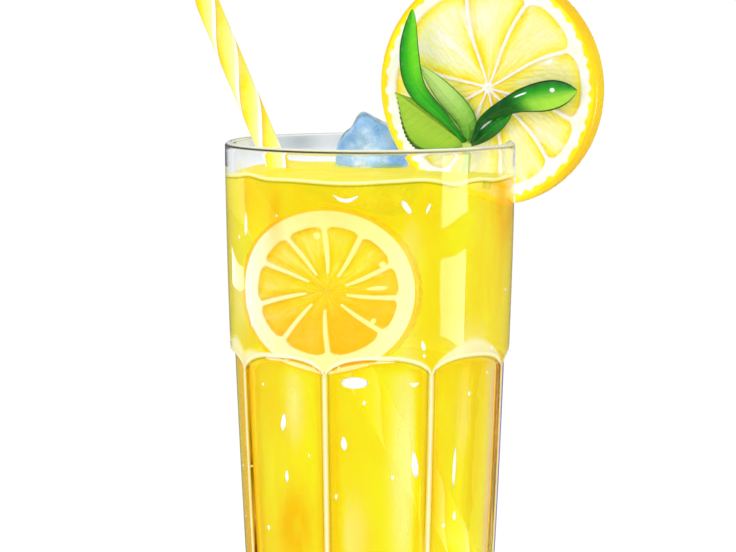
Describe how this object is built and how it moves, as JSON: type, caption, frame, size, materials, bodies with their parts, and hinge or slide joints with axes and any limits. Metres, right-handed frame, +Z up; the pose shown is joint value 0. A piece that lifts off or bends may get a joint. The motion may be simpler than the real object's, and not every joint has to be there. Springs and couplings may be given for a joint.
{
  "type": "glass of lemonade",
  "caption": "Tall panelled tumbler of lemonade with ice, a striped paper straw, a lemon wheel slit over the rim and a sprig of mint.",
  "frame": {"origin": "centre of the tumbler's foot, on the surface that it stands on", "axes": "+Z up along the tumbler's axis, -Y towards the viewer, +X towards the side with the lemon wheel"},
  "size_m": [0.1215, 0.08, 0.1961],
  "materials": {
    "clear_glass": "polished",
    "drink": "clear liquid",
    "striped_paper": "smooth printed",
    "ice": "wet",
    "lemon": "moist",
    "mint": "leafy satin"
  },
  "bodies": {
    "root": {"glass": "clear_glass", "lemonade": "drink", "straw": "striped_paper", "ice_cube": "ice", "lemon_wheel": "lemon", "mint_sprig": "mint"}
  },
  "joints": []
}
